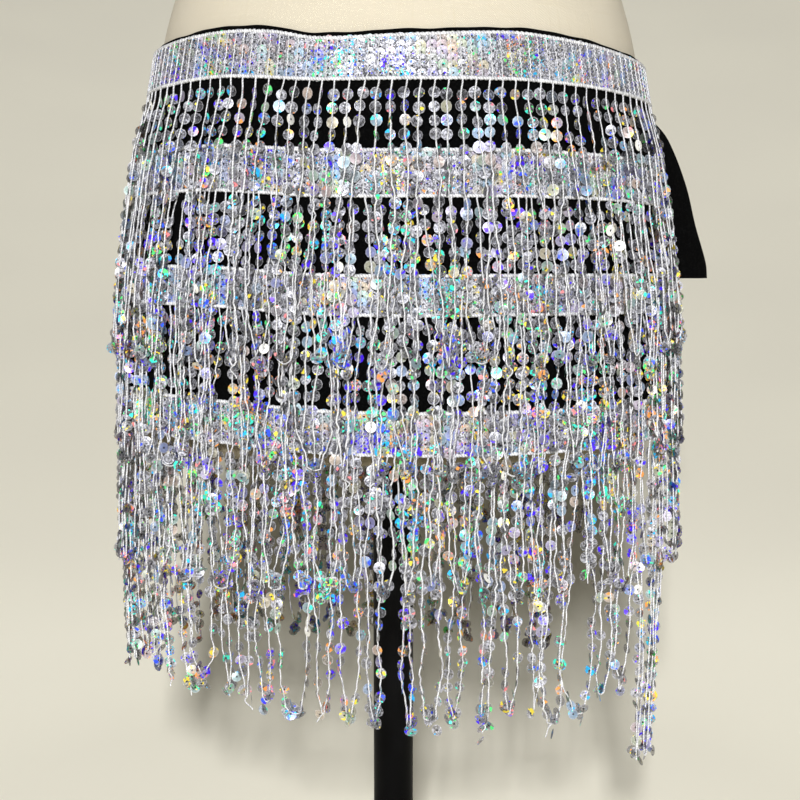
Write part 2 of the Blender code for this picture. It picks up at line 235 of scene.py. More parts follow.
def wander(angle, height):
    levels = read(WANDER, angle)
    top, bottom, _ = TIERS[0]
    crest = levels[..., 3] * np.clip((height - bottom) / (top - bottom), 0.0, 1.0)
    return blend(levels[..., 1], levels[..., 0], (height - HEM) / (CLOTH_TOP - HEM)) + crest


def edge_distances(height):
    """The hip distances of the rear and the front edge at a height."""
    edges = read(EDGES, height)
    return distance_at(edges[..., 1] - 360.0), distance_at(edges[..., 0])


def back_sag(angle, tier):
    """How much lower the strings end at the back."""
    return BACK_SAG * (tier + 1) / len(TIERS) * ease(100.0, 150.0, -angle)


def real_length(height):
    """How long the belt really is at a height, and the hip distance that it covers."""
    rear, front = edge_distances(height)
    angles = angle_at(np.linspace(rear, front, 400))
    points = worn(angles, height, BAND_OUTER)[0]
    return float(np.linalg.norm(np.diff(points, axis=0), axis=1).sum()), float(front - rear)


def belt_grid(heights, shares):
    """Hip distances, angles and heights of a grid over the belt; the heights wander with it."""
    rear, front = edge_distances(heights)
    distance = blend(rear[:, None], front[:, None], shares[None, :])
    angle = angle_at(distance)
    return distance, angle, heights[:, None] + wander(angle, heights[:, None])


# Making meshes


def add_piece(name, points, faces, material, replaced, slot, values=None, smooth=True):
    """A piece of the object from points, faces and named point values, riding on the one body."""
    mesh = bpy.data.meshes.new(name)
    mesh.from_pydata(np.asarray(points, float).tolist(), [], faces)
    mesh.polygons.foreach_set("use_smooth", np.full(len(mesh.polygons), smooth))
    for key, value in (values or {}).items():
        made = mesh.attributes.new(key, "FLOAT_VECTOR", "POINT")
        made.data.foreach_set("vector", np.asarray(value, np.float32).ravel())
    mesh.materials.append(material)
    mesh.update()
    piece = bpy.data.objects.new(name, mesh)
    bpy.context.scene.collection.objects.link(piece)
    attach(piece, "root")
    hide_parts(*replaced)
    return piece


def grid_cells(rows, columns, ring=False):
    """Faces of a grid of points whose columns run anticlockwise seen from outside."""
    r = np.arange(rows - 1)[:, None]
    c = np.arange(columns if ring else columns - 1)[None, :]
    right = (c + 1) % columns
    cells = np.stack(
        [r * columns + c, r * columns + right, (r + 1) * columns + right, (r + 1) * columns + c], -1
    )
    return cells.reshape(-1, 4)


def wall_mesh(outer, inner):
    """Points and faces of a closed wall between two grids of points, rows x columns x 3."""
    rows, columns = outer.shape[:2]
    count = rows * columns
    cells = grid_cells(rows, columns)
    rim = np.concatenate(
        [
            np.arange(columns),
            np.arange(1, rows) * columns + columns - 1,
            (rows - 1) * columns + np.arange(columns - 2, -1, -1),
            np.arange(rows - 2, 0, -1) * columns,
        ]
    )
    after = np.roll(rim, -1)
    sides = np.stack([after, rim, count + rim, count + after], -1)
    faces = np.concatenate([cells, count + cells[:, ::-1], sides])
    return np.concatenate([outer.reshape(-1, 3), inner.reshape(-1, 3)]), faces.tolist()


def ring_mesh(rings):
    """Points and faces of a closed body through rings of points, rows x columns x 3, low end first."""
    rows, columns = rings.shape[:2]
    faces = grid_cells(rows, columns, ring=True).tolist()
    faces.append(list(range(columns))[::-1])
    faces.append([(rows - 1) * columns + i for i in range(columns)])
    return rings.reshape(-1, 3), faces


def tube_mesh(paths, facing, radius, sides):
    """Closed tubes along paths, tubes x steps x 3; facing is a direction across each path.

    Returns points, faces and, for each point, the way along its tube, the way round it and a tube number.
    """
    count, steps = paths.shape[:2]
    along = unit(np.gradient(paths, axis=1))
    side = unit(np.cross(along, facing))
    front = np.cross(side, along)
    turns = 2 * pi * np.arange(sides) / sides
    radius = np.broadcast_to(np.asarray(radius, float), (count, steps))[..., None, None]
    rings = paths[:, :, None] + radius * (
        side[:, :, None] * np.cos(turns)[:, None] + front[:, :, None] * np.sin(turns)[:, None]
    )
    cells = grid_cells(steps, sides, ring=True)
    starts = np.arange(count)[:, None, None] * steps * sides
    faces = (starts + cells[None, :, ::-1]).reshape(-1, 4).tolist()
    first = np.arange(sides)
    last = (steps - 1) * sides + np.arange(sides)[::-1]
    for start in range(0, count * steps * sides, steps * sides):
        faces += [(start + first).tolist(), (start + last).tolist()]
    numbers = np.arange(count)[:, None, None] % 97 / 97.0
    value = np.stack(np.broadcast_arrays(run_along(paths)[..., None], turns / (2 * pi), numbers), -1)
    return rings.reshape(-1, 3), faces, value.reshape(-1, 3)


def join(parts):
    """Several meshes as one: lists of points, faces and values."""
    points, faces, values, start = [], [], [], 0
    for part_points, part_faces, part_values in parts:
        points.append(part_points)
        faces += [[start + i for i in face] for face in part_faces]
        values.append(part_values)
        start += len(part_points)
    return np.concatenate(points), faces, np.concatenate(values)


def cloth_value(across, up):
    """Places on the cloth, for the points of both sides of a wall."""
    return {"cloth": np.tile(np.stack(np.broadcast_arrays(across, up, 0.0), -1).reshape(-1, 3), (2, 1))}


def soft_field(places, seed):
    """A number for each place that changes slowly over a few centimetres, 0.5 on average."""
    chance = np.random.default_rng(seed)
    ways = unit(chance.normal(0, 1, (7, 3)))
    waves = np.sin(places @ (ways * chance.uniform(70, 210, (7, 1))).T + chance.uniform(0, 2 * pi, 7))
    return 0.5 + 0.085 * waves.sum(1)


def tones(centres, seeds, tint_share, fleck_share):
    """Each sequin's hue, how strong its tint is, and the share of it that flecks cover."""
    hue = (seeds[:, 0] * 0.25 + soft_field(centres, 1) * 2.6) % 1.0
    tint = np.clip((soft_field(centres, 2) * 0.8 + seeds[:, 1] - 1.28 + tint_share) / 0.22, 0, 1)
    lively = ease(0.42, 0.70, soft_field(centres, 3) + 0.22 * (seeds[:, 1] - 0.5))
    low = np.interp(centres[:, 2], (0.25, 0.46), (1.4, 0.9))
    return np.stack([hue, tint, blend(0.35, 2.3, lively) * low * fleck_share], -1)


def sequin_mesh(centres, facing, upward, radius, dish, chance):
    """Thin closed discs, dished: a rim with one middle point in front and one behind.

    Returns points, faces, a place on the disc, whose third number is 1 in front and -1 behind, and a seed.
    """
    count = len(centres)
    facing = unit(facing)
    across = unit(np.cross(upward, facing))
    upward = np.cross(facing, across)
    turn = chance.uniform(0, 2 * pi, count)[:, None] + 2 * pi * np.arange(SEQUIN_SIDES) / SEQUIN_SIDES
    nothing = np.zeros((count, 2))
    x = np.concatenate([np.cos(turn), nothing], 1)
    y = np.concatenate([np.sin(turn), nothing], 1)
    side = np.concatenate([np.zeros_like(turn), nothing + (1.0, -1.0)], 1)
    size = np.broadcast_to(np.asarray(radius, float), (count,))[:, None]
    depth = np.broadcast_to(np.asarray(dish, float), (count,))[:, None]
    raised = depth * np.abs(side) + 0.5 * SEQUIN_FILM * side
    points = (
        centres[:, None]
        + across[:, None] * (x * size)[..., None]
        + upward[:, None] * (y * size)[..., None]
        + facing[:, None] * raised[..., None]
    )
    rim = np.arange(SEQUIN_SIDES)
    after = np.roll(rim, -1)
    front = np.stack([rim, after, np.full_like(rim, SEQUIN_SIDES)], -1)
    back = np.stack([after, rim, np.full_like(rim, SEQUIN_SIDES + 1)], -1)
    template = np.concatenate([front, back])
    faces = (np.arange(count)[:, None, None] * (SEQUIN_SIDES + 2) + template[None]).reshape(-1, 3).tolist()
    disc = np.stack([x, y, side], -1).reshape(-1, 3)
    seeds = np.repeat(chance.uniform(0, 1, (count, 3)), SEQUIN_SIDES + 2, axis=0)
    return points.reshape(-1, 3), faces, disc, seeds


# Materials


class Shader:
    """A node material, built with short calls. A value may be a number, or another node's socket."""

    def __init__(self, name, colour, roughness, **sockets):
        self.material = bpy.data.materials.new(name)
        self.material.use_nodes = True
        self.nodes = self.material.node_tree.nodes
        self.links = self.material.node_tree.links
        self.principled = self.nodes["Principled BSDF"]
        sockets.update(Base_Color=(*colour, 1.0), Roughness=roughness)
        for key, value in sockets.items():
            self.principled.inputs[key.replace("_", " ")].default_value = value

    def node(self, kind, inputs, **settings):
        made = self.nodes.new("ShaderNode" + kind)
        for key, value in settings.items():
            setattr(made, key, value)
        for key, value in inputs.items():
            if isinstance(value, bpy.types.NodeSocket):
                self.links.new(value, made.inputs[key])
            else:
                made.inputs[key].default_value = value
        return made

    def math(self, operation, *values):
        return self.node("Math", dict(enumerate(values)), operation=operation).outputs[0]

    def times(self, first, second):
        return self.math("MULTIPLY", first, second)

    def times_plus(self, first, second, third):
        return self.math("MULTIPLY_ADD", first, second, third)

    def mix(self, share, first, second, blend_type="MIX"):
        inputs = {0: share}
        for key, colour in ((6, first), (7, second)):
            inputs[key] = (*colour, 1.0) if isinstance(colour, tuple) else colour
        return self.node("Mix", inputs, data_type="RGBA", blend_type=blend_type).outputs[2]

    def ramp(self, value, stops, interpolation="LINEAR"):
        made = self.node("ValToRGB", {0: value})
        elements = made.color_ramp.elements
        made.color_ramp.interpolation = interpolation
        while len(elements) < len(stops):
            elements.new(0.5)
        for element, (place, colour) in zip(elements, stops):
            element.position = place
            element.color = (*colour, 1.0)
        return made.outputs[0]

    def remap(self, value, low, high, to_low=0.0, to_high=1.0):
        inputs = {0: value, 1: low, 2: high, 3: to_low, 4: to_high}
        return self.node("MapRange", inputs, clamp=True).outputs[0]

    def noise(self, place, scale, detail=2.0):
        return self.node("TexNoise", {"Vector": place, "Scale": scale, "Detail": detail}).outputs["Fac"]

    def cells(self, place, scale):
        """Three random numbers, which stay the same within each cell."""
        found = self.node("TexVoronoi", {"Vector": place, "Scale": scale}, feature="F1")
        return self.node("SeparateColor", {0: found.outputs["Color"]}).outputs

    def values(self, name):
        """The piece's own point values."""
        return self.node("Attribute", {}, attribute_name=name).outputs["Vector"]

    def place(self):
        return self.node("NewGeometry", {}).outputs["Position"]

    def split(self, vector):
        return self.node("SeparateXYZ", {0: vector}).outputs

    def scaled(self, vector, factors):
        return self.node("VectorMath", {0: vector, 1: factors}, operation="MULTIPLY").outputs[0]

    def bump(self, height, distance, strength):
        inputs = {"Height": height, "Distance": distance, "Strength": strength}
        return self.node("Bump", inputs).outputs[0]

    def finish(self, **sockets):
        for key, socket in sockets.items():
            self.links.new(socket, self.principled.inputs[key.replace("_", " ")])
        return self.material


# Pure colours of the flecks, and the pale colours of tinted film, by hue from 0 to 1
FLECK_COLOURS = (
    (0.00, (0.08, 0.02, 1.00)),
    (0.22, (0.04, 0.10, 1.00)),
    (0.34, (0.03, 0.50, 1.00)),
    (0.45, (0.06, 0.95, 0.72)),
    (0.57, (0.12, 0.90, 0.25)),
    (0.66, (1.00, 0.82, 0.08)),
    (0.79, (1.00, 0.40, 0.10)),
    (0.90, (1.00, 0.30, 0.32)),
)
TINT_COLOURS = (
    (0.00, (0.50, 0.46, 1.00)),
    (0.18, (0.46, 0.62, 1.00)),
    (0.34, (0.56, 0.80, 1.00)),
    (0.46, (0.68, 0.92, 0.80)),
    (0.60, (0.94, 0.90, 0.64)),
    (0.72, (1.00, 0.78, 0.64)),
    (0.86, (0.86, 0.76, 0.96)),
    (1.00, (0.62, 0.60, 1.00)),
)
FACET_STOPS = (0.0, 0.4, 0.7, 1.0)
GREY_CAST = (0.92, 0.93, 1.07)
SEED_SPREAD = (37.0, 61.0, 53.0)
GLARE_FROM = 0.990
FRONT_ALPHA = 0.98
BEHIND_ALPHA = 0.5


def sequin_material(name, levels, metallic, texture, thin, thick, cell_scale, rim_share):
    """Iridescent film: bright and dull facets, tints and flecks of pure colour, a dull reverse, and painted
    light: a painted reflection in each sequin's brightness, a pale rim and glare as painted highlights, and
    painted shade on the reverse towards the back.

    The disc attribute is a place on the disc, and above 0 in front and below 0 behind. The tone attribute
    is the sequin's hue, how strong its tint is and the share of it that flecks cover. Levels are the greys
    of the facets, texture is how far the small ones differ, and thin and thick are how solid they are.
    """
    s = Shader(name, (0.5, 0.5, 0.55), 0.40, Specular_IOR_Level=0.4, Metallic=metallic)
    disc = s.values("disc")
    seed = s.values("seed")
    hue, tint, share = s.split(s.values("tone"))
    bright_seed = s.split(seed)[2]
    flat_disc = s.scaled(disc, (1.0, 1.0, 0.0))
    radius = s.node("VectorMath", {0: flat_disc}, operation="LENGTH").outputs["Value"]
    inputs = {0: seed, 1: SEED_SPREAD, 2: flat_disc}
    moved = s.node("VectorMath", inputs, operation="MULTIPLY_ADD").outputs[0]
    cell = s.cells(moved, cell_scale)
    speck = s.cells(moved, 2.4 * cell_scale)
    # Facets: some dull and nearly clear, some bright; a sequin's third seed is how bright it is on the
    # whole, a painted reflection of how it lies to the light
    facet = s.times_plus(cell[2], 0.36, s.times(bright_seed, 0.45))
    facet = s.times_plus(s.math("SUBTRACT", speck[2], 0.5), texture, facet)
    facet = s.remap(facet, 0.05, 1.0)
    greys = [tuple(min(1.0, level * cast) for cast in GREY_CAST) for level in levels]
    film = s.ramp(facet, list(zip(FACET_STOPS, greys)))
    tinted = s.mix(1.0, s.mix(0.5, film, (1.0, 1.0, 1.0)), s.ramp(hue, TINT_COLOURS), "MULTIPLY")
    film = s.mix(s.times(tint, 0.85), film, tinted)
    # Painted highlight: a pale rim round each disc, which is also more solid
    rim = s.times(s.remap(radius, 0.78, 0.92), rim_share)
    film = s.mix(s.times(rim, 0.5), film, (0.80, 0.80, 0.86))
    # Flecks, and smaller ones that glitter
    fleck = s.math("LESS_THAN", cell[0], share)
    glitter = s.math("LESS_THAN", speck[0], s.times(share, 0.45))
    marked = s.math("MAXIMUM", fleck, glitter)
    fleck_hue = s.times_plus(cell[1], 0.20, hue)
    fleck_hue = s.times_plus(s.times(speck[1], glitter), 0.15, fleck_hue)
    flecks = s.ramp(s.math("FRACT", fleck_hue), FLECK_COLOURS, "CONSTANT")
    colour = s.mix(marked, film, flecks)
    # Painted glare: the brightest few sequins are painted nearly white, a painted highlight of the lamp
    glare = s.math("GREATER_THAN", bright_seed, GLARE_FROM)
    colour = s.mix(glare, colour, (1.0, 0.99, 0.93))
    hole = s.math("LESS_THAN", radius, 0.19)
    colour = s.mix(hole, colour, (0.02, 0.02, 0.025))
    if not rim_share:
        return s.finish(Base_Color=colour)
    # The reverse is dull; towards the back of the form it is painted darker, as painted shade inside the
    # skirt
    behind = s.math("LESS_THAN", s.split(disc)[2], 0.0)
    depth = s.split(s.place())[1]
    dull = s.mix(s.remap(depth, -0.04, 0.05), (0.42, 0.41, 0.40), (0.26, 0.22, 0.14))
    colour = s.mix(behind, colour, s.mix(1.0, colour, dull, "MULTIPLY"))
    alpha = s.remap(facet, 0.0, 1.0, thin, thick)
    for solid in (s.times(rim, 0.7), marked, glare, hole, s.times(tint, 0.7)):
        alpha = s.math("MAXIMUM", alpha, solid)
    most = s.times_plus(behind, BEHIND_ALPHA - FRONT_ALPHA, FRONT_ALPHA)
    s.material.use_transparent_shadow = False
    return s.finish(Base_Color=colour, Alpha=s.math("MINIMUM", alpha, most))


def thread_material():
    """White two-ply cotton: slanting plies with painted shade in the grooves between them, slightly uneven
    in tone.
    """
    s = Shader("white_thread", (0.9, 0.9, 0.9), 0.8, Specular_IOR_Level=0.3)
    along, around, _ = s.split(s.values("run"))
    slant = s.math("ADD", s.times(along, 620.0), s.times(around, 2.0))
    # Painted shade: the grooves between the plies are painted grey
    ply = s.math("SINE", s.times(slant, 2 * pi))
    shade = s.remap(s.times_plus(s.noise(s.place(), 300.0, 0.0), 3.2, ply), 0.0, 3.2)
    return s.finish(Base_Color=s.mix(shade, (0.38, 0.38, 0.41), (0.96, 0.97, 1.0)))


def knit_material(name, colour, wale, sheen):
    """A fine knit: upright wales crossed by courses, read from the cloth's own measured places, with painted
    shade in the troughs between the stitches.
    """
    s = Shader(name, colour, 0.9, Sheen_Weight=sheen, Sheen_Roughness=0.5, Specular_IOR_Level=0.05)
    level, height, _ = s.split(s.values("cloth"))
    across = s.math("ABSOLUTE", s.math("SINE", s.times(level, pi / wale)))
    up = s.times(height, 2 * pi / (wale * 0.8))
    course = s.math("SINE", s.math("ADD", up, s.times(across, 2.4)))
    stitch = s.math("ADD", across, s.times(course, 0.35))
    fuzz = s.noise(s.place(), 900.0, 0.0)
    pale = tuple(min(1.0, c * 2.2 + 0.003) for c in colour)
    # Painted shade: the troughs between the stitches are painted darker
    dark = tuple(c * 0.45 for c in colour)
    tone = s.mix(s.remap(stitch, 0.0, 1.2), dark, colour)
    tone = s.mix(s.times(s.remap(fuzz, 0.45, 0.8), 0.45), tone, pale)
    raised = s.math("ADD", stitch, s.times(fuzz, 0.5))
    return s.finish(Base_Color=tone, Normal=s.bump(raised, 0.00025, 0.8))


WEAVE_PITCH = 0.0011
HEM_PAINTED_SHADE = (0.338, 0.348)


def cover_material():
    """The form's cover: cream cotton in a fine plain weave, with slubs, a very soft mottle and painted shade
    at its lower edge.
    """
    s = Shader("cream_cotton_cover", (0.84, 0.765, 0.60), 0.85, Sheen_Weight=0.15, Specular_IOR_Level=0.25)
    cloth = s.values("cloth")
    around, up, end = s.split(cloth)
    # The flat ends are plain
    woven = s.math("SUBTRACT", 1.0, end)
    warp, weft = (s.math("SINE", s.times(way, 2 * pi / WEAVE_PITCH)) for way in (around, up))
    weave = s.times(s.times(warp, weft), woven)
    down, level = (s.noise(s.scaled(cloth, way), 1.0) for way in ((420.0, 24.0, 1.0), (24.0, 420.0, 1.0)))
    slub = s.times(s.math("MAXIMUM", down, level), woven)
    mottle = s.noise(s.place(), 11.0, 3.0)
    colour = s.mix(s.remap(mottle, 0.3, 0.7), (0.71, 0.65, 0.525), (0.665, 0.60, 0.475))
    colour = s.mix(s.remap(slub, 0.55, 0.85), colour, (0.67, 0.60, 0.46))
    colour = s.mix(s.remap(weave, -1.0, 1.0, 0.0, 0.16), colour, (0.62, 0.54, 0.40))
    # Painted shade: the turned lower edge, at and just under the belt's hem, is painted darker
    colour = s.mix(s.remap(up, *HEM_PAINTED_SHADE, 0.75, 0.0), colour, (0.24, 0.18, 0.08))
    raised = s.math("ADD", weave, s.times(slub, 2.0))
    return s.finish(Base_Color=colour, Normal=s.bump(raised, 0.0002, 0.6))


def paint_material():
    """Black powder coat: a fine orange peel, and dull rubbed patches."""
    s = Shader("black_powder_coat", (0.003, 0.003, 0.003), 0.5, Specular_IOR_Level=0.06)
    place = s.place()
    wear = s.noise(place, 14.0, 4.0)
    return s.finish(
        Base_Color=s.mix(s.remap(wear, 0.45, 0.75), (0.0020, 0.0020, 0.0022), (0.005, 0.005, 0.0054)),
        Roughness=s.remap(wear, 0.3, 0.7, 0.42, 0.6),
        Normal=s.bump(s.noise(place, 420.0, 2.0), 0.0002, 0.35),
    )


BAND_SEQUIN = sequin_material(
    "band_sequin_film",
    levels=(0.10, 0.38, 0.80, 1.0),
    metallic=0.40,
    texture=0.90,
    thin=1.0,
    thick=1.0,
    cell_scale=2.3,
    rim_share=0.0,
)
STRING_SEQUIN = sequin_material(
    "string_sequin_film",
    levels=(0.12, 0.31, 0.62, 1.0),
    metallic=0.25,
    texture=0.50,
    thin=0.27,
    thick=0.86,
    cell_scale=1.6,
    rim_share=0.8,
)
THREAD = thread_material()
KNIT = knit_material("black_stretch_knit", (0.0016, 0.0016, 0.0017), 0.0007, 0.003)
TAPE = knit_material("grey_tape_ground", (0.16, 0.16, 0.17), 0.0014, 0.1)
COVER = cover_material()
PAINT = paint_material()


# The form and the stand


FORM_COLUMNS = 220
FORM_ROWS = 60
END_RINGS = (0.06, 0.35, 0.70)    # how far each ring of a flat end is drawn in to the middle
SEAMS = (-43.6, -6.6, 30.4, 173.4)
SEAM_DEPTH = 0.00025
SEAM_WIDTH = 0.8


def make_form():
    """The covered hip form, finely meshed, its edges rounded over, with the seams of its cover."""
    turns = np.radians(np.linspace(0, 90, 8))
    rounding = [(FORM_EDGE_ROUND * (1 - sin(t)), FORM_EDGE_ROUND * (1 - cos(t))) for t in turns]
    middle = np.linspace(FORM_BOTTOM + FORM_EDGE_ROUND, FORM_TOP - FORM_EDGE_ROUND, FORM_ROWS)[1:-1]
    levels = [(FORM_BOTTOM + rise, inset) for inset, rise in rounding]
    levels += [(height, 0.0) for height in middle]
    levels += [(FORM_TOP - rise, inset) for inset, rise in reversed(rounding)]
    angles = 180.0 + 360.0 * np.arange(FORM_COLUMNS) / FORM_COLUMNS
    rings = [body(angles, height, -inset)[0] for height, inset in levels]
    # Both flat ends close towards the middle in a few more rings
    axis = np.array([FORM_X, 0.0, 0.0])
    low, high = (
        [axis + (ring - axis) * (1 - share * (1 - UP)) for share in END_RINGS]
        for ring in (rings[0], rings[-1])
    )
    rings = np.array(low[::-1] + rings + high)
    outward = body(angles, HIP_HEIGHT)[1]
    for seam in SEAMS:
        away = np.abs((angles - seam + 180.0) % 360.0 - 180.0)
        trough = SEAM_DEPTH * np.exp(-((away / SEAM_WIDTH) ** 2))
        rings[4:-4] -= (outward * trough[:, None])[None]
    points, faces = ring_mesh(rings)
    around = np.broadcast_to(np.linspace(0, 0.93, FORM_COLUMNS)[None, :], rings.shape[:2])
    ends = np.zeros_like(around)
    ends[: len(END_RINGS)] = 1.0
    ends[-len(END_RINGS) :] = 1.0
    value = np.stack([around, rings[..., 2], ends], -1)
    add_piece("hip_form_cover", points, faces, COVER, ["hip_form"], "form_cover", {"cloth": value})


def turned_mesh(profile, sides):
    """A body turned about Z from radius and height pairs, bottom to top."""
    turns = 2 * pi * np.arange(sides) / sides
    rings = np.array([[(r * cos(t), r * sin(t), z) for t in turns] for r, z in profile])
    return ring_mesh(rings)


def rounded(profile, radius, steps=4):
    """A profile with each inner corner replaced by an arc of the given radius."""
    made = [profile[0]]
    for before, corner, after in zip(profile, profile[1:], profile[2:]):
        before, corner, after = (np.array(p, float) for p in (before, corner, after))
        reach = min(radius, 0.45 * np.linalg.norm(corner - before), 0.45 * np.linalg.norm(after - corner))
        start = corner + unit(before - corner) * reach
        end = corner + unit(after - corner) * reach
        for t in np.linspace(0, 1, steps + 1):
            made.append(tuple((1 - t) ** 2 * start + 2 * t * (1 - t) * corner + t * t * end))
    return made + [profile[-1]]


def make_stand():
    """The base, the collar and the pole, as profiles turned about the pole's middle."""
    base_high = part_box("stand_base")[1]
    pole_low, pole_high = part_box("stand_pole")
    collar_low, collar_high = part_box("stand_collar")
    base_radius, pole_radius, collar_radius = base_high.x, pole_high.x, collar_high.x
    base = [
        (0.02, 0.0),
        (base_radius - 0.0015, 0.0),
        (base_radius, 0.0015),
        (base_radius, 0.0048),
        (base_radius - 0.0015, 0.0062),
        (collar_radius + 0.004, base_high.z),
        (0.02, base_high.z),
    ]
    # The collar has a shallow groove round it
    groove = [(0.0, 0.0120), (-0.0008, 0.0126), (-0.0008, 0.0136), (0.0, 0.0142)]
    collar = [
        (collar_radius - 0.002, collar_low.z),
        (collar_radius, collar_low.z + 0.0005),
        *((collar_radius + r, collar_low.z + z) for r, z in groove),
        (collar_radius, collar_high.z - 0.001),
        (collar_radius - 0.003, collar_high.z),
        (pole_radius, collar_high.z),
    ]
    pole = [(pole_radius, z) for z in (pole_low.z, blend(pole_low.z, pole_high.z, 0.5), pole_high.z)]
    for name, node, profile, sides in (
        ("round_base", "stand_base", rounded(base, 0.0012), 160),
        ("pole_collar", "stand_collar", rounded(collar, 0.0007), 96),
        ("pole_tube", "stand_pole", pole, 64),
    ):
        points, faces = turned_mesh(profile, sides)
        piece = add_piece(name, points, faces, PAINT, [node], "stand_black")
    # The tube, which is the last of them, is cut square at its ends
    piece.data.set_sharp_from_angle(angle=radians(50))


# The wrap cloth


# Creases: distance from the front edge along the hip, height, half length, half width, slope, depth
CREASES = (
    (0.020, 0.556, 0.030, 0.0030, 0.10, 0.0012),
    (0.030, 0.545, 0.036, 0.0036, 0.35, 0.0010),
    (0.026, 0.530, 0.030, 0.0040, 0.75, 0.0009),
    (0.070, 0.468, 0.040, 0.0050, 0.15, 0.0007),
    (0.180, 0.460, 0.050, 0.0060, -0.08, 0.0006),
    (0.330, 0.468, 0.045, 0.0060, 0.05, 0.0006),
    (0.300, 0.395, 0.060, 0.0070, 0.03, 0.0007),
    (0.520, 0.400, 0.050, 0.0060, -0.06, 0.0006),
    (0.600, 0.462, 0.060, 0.0060, 0.08, 0.0007),
    (0.760, 0.556, 0.030, 0.0030, -0.12, 0.0011),
    (0.745, 0.540, 0.036, 0.0038, -0.38, 0.0010),
    (0.750, 0.470, 0.030, 0.0050, -0.20, 0.0008),
)
# Waves of the upper edge: height, waves to the metre, phase
TOP_WAVES = ((0.00025, 9.0, 0.6), (0.00020, 23.0, 2.1), (0.00015, 41.0, 4.0))
TOP_RISE = 0.0006
TURNED_EDGE = 0.0003      # how much thicker the turned edges are than the panel
TURNED_WIDTHS = (0.004, 0.005)    # of the upper edge, of the ends
TYPICAL_LENGTH = 0.85     # of the panel, for the width of its turned ends
CREASE_SHARE = 0.35       # how much of a crease's depth shows in the tight cloth


def cloth_top_wave(distance):
    """How the cloth's upper edge rises and dips along the belt."""
    return sum(size * np.sin(rate * distance * 2 * pi + phase) for size, rate, phase in TOP_WAVES)


def make_cloth():
    heights = np.linspace(HEM, CLOTH_TOP, 60)
    share = np.linspace(0, 1, 320)
    distance, angle, height = belt_grid(heights, share)
    upper = ease(TIERS[0][0], CLOTH_TOP, heights)[:, None]
    height = height + upper * (cloth_top_wave(distance) + TOP_RISE)
    front = edge_distances(heights)[1][:, None]
    dent = np.zeros_like(distance)
    for from_front, level, half, width, slope, depth in CREASES:
        along = (front - distance) - from_front
        off = (heights[:, None] - level) + slope * along
        dent += depth * np.exp(-((off / width) ** 2)) * np.exp(-((along / half) ** 2))
    near_top = np.exp(-(((CLOTH_TOP - heights[:, None]) / TURNED_WIDTHS[0]) ** 2))
    near_side = np.exp(-((np.minimum(share, 1 - share) * TYPICAL_LENGTH / TURNED_WIDTHS[1]) ** 2))
    out = CLOTH_OUTER - dent * CREASE_SHARE + TURNED_EDGE * np.maximum(near_top, near_side)
    points, faces = wall_mesh(worn(angle, height, out)[0], worn(angle, height, CLOTH_INNER)[0])
    values = cloth_value(distance, height)
    piece = add_piece("wrap_panel", points, faces, KNIT, ["wrap_cloth"], "knit_black", values)
    widths = [real_length(h)[0] for h in heights]
    return piece, max(widths), float(np.mean(widths)) * (CLOTH_TOP - HEM)


# The sequin bands


def along_band(height, pitch):
    """Hip distances along the belt at a height, evenly spaced at a real pitch."""
    length, covered = real_length(height)
    rear, _ = edge_distances(height)
    count = int(length / pitch)
    return rear + covered * (np.arange(count) + 0.5) / count


def make_tape(number, top, bottom):
    """The band's ground: a thin closed tape that the sequins lie on."""
    distance, angle, height = belt_grid(np.linspace(bottom, top, 7), np.linspace(*TAPE_SPAN, 360))
    outer = worn(angle, height, TAPE_OUTER)[0]
    inner = worn(angle, height, TAPE_INNER)[0]
    points, faces = wall_mesh(outer, inner)
    values = cloth_value(distance, height)
    return add_piece(f"band_{number}_tape", points, faces, TAPE, [f"band_{number}"], "sequin_band", values)


def add_sequins(node, slot, material, mesh, centres, tints, flecks):
    """A piece of sequins from its mesh, each with its tone."""
    points, faces, disc, seeds = mesh
    tone = tones(centres, seeds[:: SEQUIN_SIDES + 2], tints, flecks)
    values = {"disc": disc, "seed": seeds, "tone": np.repeat(tone, SEQUIN_SIDES + 2, axis=0)}
    return add_piece(node + "_sequins", points, faces, material, [node], slot, values, smooth=False)


def make_band_sequins(number, top, bottom, chance):
    columns = along_band((top + bottom) / 2, COLUMN_PITCH)
    depth = top - bottom - 2 * BAND_MARGIN
    rows = round(depth / ROW_PITCH) + 1
    levels = bottom + BAND_MARGIN + depth * np.arange(rows) / (rows - 1)
    distance, level = np.meshgrid(columns, levels, indexing="ij")
    distance = distance + chance.normal(0, 0.00025, distance.shape)
    level = level + chance.normal(0, 0.00025, level.shape)
    level[1::2] += 0.0004
    distance, level = distance.ravel(), level.ravel()
    angle = angle_at(distance)
    height = level + wander(angle, level)
    centres, outward = worn(angle, height, BAND_SEQUINS_OUT + chance.uniform(0, 0.0003, len(level)))
    facing = outward + UP * chance.normal(-0.13, 0.04, len(level))[:, None]
    facing = facing + np.cross(UP, outward) * chance.normal(0, 0.05, len(level))[:, None]
    ups = np.broadcast_to(UP, facing.shape)
    points, faces, disc, seeds = sequin_mesh(
        centres, facing, ups, BAND_SEQUIN_RADIUS, BAND_SEQUIN_DISH, chance
    )
    # The sequins of one column lie alike, so they are painted about as bright as each other, a painted
    # reflection
    column = np.repeat(chance.uniform(0, 1, (len(columns), 3)), rows, axis=0)
    column = np.repeat(column, len(seeds) // len(column), axis=0)
    seeds = seeds * np.array([0.6, 0.6, 0.5]) + column * np.array([0.4, 0.4, 0.48])
    mesh = points, faces, disc, seeds
    add_sequins(f"band_{number}", "sequin_band", BAND_SEQUIN, mesh, centres, BAND_TINTS, BAND_FLECKS)


